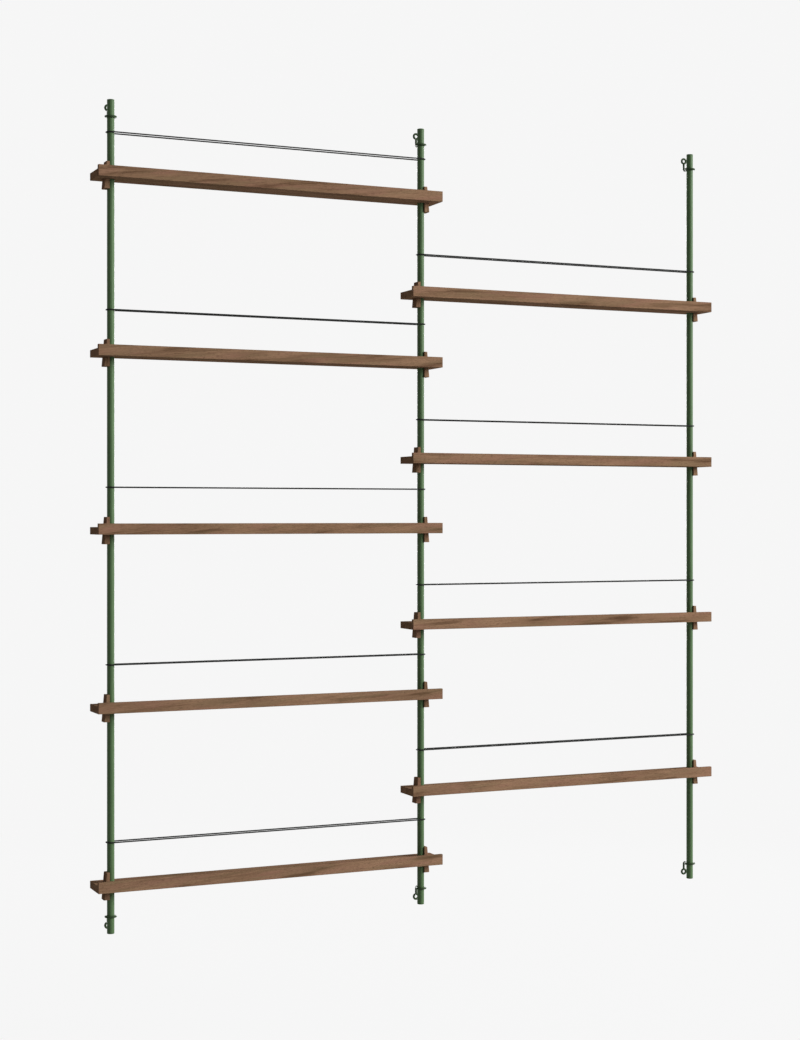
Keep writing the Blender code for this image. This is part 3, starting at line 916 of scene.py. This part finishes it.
def board_plan(bm, low, high, slots):
    """The outline of a board with its slots as holes, filled with a few large faces."""
    outline = [bm.verts.new((x, y, low.z))
               for x, y in ((low.x, low.y), (high.x, low.y), (high.x, high.y), (low.x, high.y))]
    draw_chain(bm, outline + outline[:1])
    for slot in slots:
        draw_slot(bm, *slot)
    drawn = set(bm.edges)
    bmesh.ops.triangle_fill(bm, use_beauty=True, use_dissolve=False, edges=list(bm.edges))
    spare = [edge for edge in bm.edges if edge not in drawn]
    bmesh.ops.dissolve_limit(bm, angle_limit=FLAT_ANGLE, verts=[], edges=spare)
    return list(bm.faces)


def make_board(label, number):
    """One board with its two sloping slots."""
    node = f"{label}_board"
    low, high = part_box(node)
    low.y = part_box(f"{label}_lip")[1].y + GLUE_LINE
    foot, height, half_width, slope = wedge_sizes(label)
    back = WEDGE_BACK_AT_FOOT - slope * (low.z - foot) + SLOT_GAP
    half_width += SLOT_GAP
    sides = list(zip((-RIGHT, RIGHT), legs_of(label)))
    bm = bmesh.new()
    plan = board_plan(bm, low, high, [(leg, out, low.z, back, half_width) for out, leg in sides])

    top = lift(bm, plan, high.z - low.z)
    for out, leg in sides:
        pushed = [vert for vert in top if half_width < (vert.co - leg).dot(out) < back + PICK_MARGIN
                  and abs(vert.co.y - leg.y) < half_width + PICK_MARGIN]
        bmesh.ops.translate(bm, verts=pushed, vec=-out * slope * (high.z - low.z))
    bmesh.ops.recalc_face_normals(bm, faces=bm.faces)
    rims = [edge for edge in bm.edges if edge.is_manifold and edge.calc_face_angle() > CORNER_ANGLE]
    at_slot = [edge for edge in rims
               if any((edge.verts[0].co.xy - leg.xy).length < back + SLOT_MARGIN for out, leg in sides)]
    outer = [edge for edge in rims if edge not in at_slot
             and max(vert.co.y for vert in edge.verts) > low.y + PICK_MARGIN]
    eased = list(ease(bm, at_slot, SLOT_EASE, SLOT_EASE_STEPS))
    eased += list(ease(bm, outer, BOARD_EASE, BOARD_STEPS))
    lay_grain(bm, (low + high) / 2, number)
    return finish_piece(node, bm, OAK, "oak", eased)


boards = [make_board(label, number) for number, label in enumerate(SHELF_LABELS)]
print("boards:", len(boards), "faces each:", len(boards[0].data.polygons))

# %% [markdown]
# ## Floor and backdrop
# The shelf hangs on a wall, so the floor is a pale disc a little below the legs. Everything round it is one
# pale tone. The world shows that tone to the camera and in reflections, and gives only a little light of
# its own. The floor takes the lamps' light and the shelf's shadow faintly, and fades into the backdrop
# towards its rim. A small lift of its own tone makes up for the lit part, which is darker, so that no edge
# shows between floor and backdrop.

# %% Floor and world
BACKDROP = (0.923, 0.923, 0.923, 1.0)
AMBIENT = (0.20, 0.20, 0.20, 1.0)
FLOOR_COLOUR = (0.40, 0.40, 0.40, 1.0)
FLOOR_ROUGHNESS = 0.9
FLOOR_SHARE = 0.10
FLOOR_LIFT = 0.75
FLOOR_DROP = 0.36
FLOOR_RADIUS = 3.4
FLOOR_SIDES = 96
FADE_FROM = 0.55
FADE_TO = 0.98


def seen_directly(tree):
    """1 for rays from the camera, from gloss and through glass, and 0 for the rest."""
    rays = tree.nodes.new("ShaderNodeLightPath").outputs
    mirrored = maths(tree, "MAXIMUM", rays["Is Glossy Ray"], rays["Is Transmission Ray"])
    return maths(tree, "MAXIMUM", rays["Is Camera Ray"], mirrored)


def mix_light(tree, share, first, second):
    """Two shaders mixed by a share."""
    node = tree.nodes.new("ShaderNodeMixShader")
    for socket, value in zip(node.inputs, (share, first, second)):
        tree.links.new(value, socket)
    return node.outputs[0]


world = bpy.data.worlds.new("pale_world")
world.use_nodes = True
bpy.context.scene.world = world
world.node_tree.nodes.clear()
ambient = add_node(world.node_tree, "ShaderNodeBackground", {"Color": AMBIENT}).outputs[0]
shown = add_node(world.node_tree, "ShaderNodeBackground", {"Color": BACKDROP}).outputs[0]
look = mix_light(world.node_tree, seen_directly(world.node_tree), ambient, shown)
world.node_tree.links.new(look, world.node_tree.nodes.new("ShaderNodeOutputWorld").inputs["Surface"])

bm = bmesh.new()
under = Vector((0.0, 0.0, cad_box[0].z - FLOOR_DROP))
bmesh.ops.create_circle(bm, cap_ends=True, segments=FLOOR_SIDES, radius=FLOOR_RADIUS,
                        matrix=Matrix.Translation(under))
mesh = bpy.data.meshes.new("floor")
bm.to_mesh(mesh)
bm.free()
floor = bpy.data.objects.new("floor", mesh)
bpy.context.scene.collection.objects.link(floor)

pale = bpy.data.materials.new("pale_floor")
pale.use_nodes = True
tree = pale.node_tree
matt = tree.nodes["Principled BSDF"]
matt.inputs["Base Color"].default_value = FLOOR_COLOUR
matt.inputs["Roughness"].default_value = FLOOR_ROUGHNESS
matt.inputs["Specular IOR Level"].default_value = 0.0
lit = matt.outputs[0]
spot = tree.nodes.new("ShaderNodeTexCoord").outputs["Object"]
from_centre = length(tree, stretched(tree, spot, (1.0, 1.0, 0.0)))
share = ramp(tree, from_centre, FLOOR_RADIUS * FADE_FROM, FLOOR_RADIUS * FADE_TO, FLOOR_SHARE, 0.0)
strength = maths(tree, "ADD", maths(tree, "MULTIPLY", share, FLOOR_LIFT), 1.0)
tone = add_node(tree, "ShaderNodeEmission", {"Color": BACKDROP, "Strength": strength}).outputs[0]
watched = mix_light(tree, share, tone, lit)
surface = tree.nodes["Material Output"].inputs["Surface"]
tree.links.new(mix_light(tree, seen_directly(tree), lit, watched), surface)
mesh.materials.append(pale)
print("floor level:", round(under.z, 3))

# %% [markdown]
# ## Lamps
# One large soft lamp stands far off to the right and higher than the shelf, as a studio window does. It
# lights the boards' front edges and the right side of every leg, and leaves their left side in shade. A
# dimmer lamp behind serves only the back. A lamp's power is worked out from its distance and its level,
# which says how white a white surface facing it renders: at level 1 it is just white. So a lamp can be
# moved without changing what it does to the exposure.

# %% Lamps
OBJECT_MIDDLE = (cad_box[0] + cad_box[1]) / 2


def add_lamp(name, azimuth, elevation, distance, size, level):
    """A square lamp aimed at the object. Its azimuth turns from the front to the right."""
    turn, rise = math.radians(azimuth), math.radians(elevation)
    towards = Vector((math.sin(turn) * math.cos(rise), -math.cos(turn) * math.cos(rise), math.sin(rise)))
    light = bpy.data.lights.new(name, "AREA")
    light.size = size
    light.energy = level * (math.pi * distance) ** 2
    lamp = bpy.data.objects.new(name, light)
    lamp.location = OBJECT_MIDDLE + towards * distance
    lamp.rotation_euler = towards.to_track_quat("Z", "Y").to_euler()
    lamp.visible_camera = False
    bpy.context.scene.collection.objects.link(lamp)
    print(name, "watts:", round(light.energy))


add_lamp("window", azimuth=56.0, elevation=16.0, distance=12.0, size=5.0, level=1.31)
add_lamp("behind", azimuth=156.0, elevation=4.0, distance=8.0, size=4.0, level=0.90)

# %% [markdown]
# ## Camera
# The camera stands to the left, level with the middle of the legs, and looks square along its own axis, so
# uprights stay upright. Its place and lens come from fitting the frame's leg ends, shelf ends and lips to
# the picture. A focal length in pixels becomes millimetres by the sensor's width, which Blender lays along
# the longer side of a picture: here its height.

# %% Camera
PICTURE_HEIGHT = 1040
FOCAL_PIXELS = 1828.849
CENTRE_PIXELS = -4.497
SENSOR_WIDTH = 36.0
CAMERA_PLACE = (-1.7790, -3.8907, -0.88594)
CAMERA_TILT = 90.0
CAMERA_TURN = -24.0847
camera_data = bpy.data.cameras.new("picture_camera")
camera_data.sensor_width = SENSOR_WIDTH
camera_data.lens = SENSOR_WIDTH * FOCAL_PIXELS / PICTURE_HEIGHT
camera_data.shift_y = CENTRE_PIXELS / PICTURE_HEIGHT
camera = bpy.data.objects.new("picture_camera", camera_data)
camera.location = CAMERA_PLACE
camera.rotation_euler = (math.radians(CAMERA_TILT), 0.0, math.radians(CAMERA_TURN))
bpy.context.scene.collection.objects.link(camera)
bpy.context.scene.camera = camera
bpy.context.scene.view_settings.view_transform = "Standard"
print("lens in mm:", round(camera_data.lens, 2))
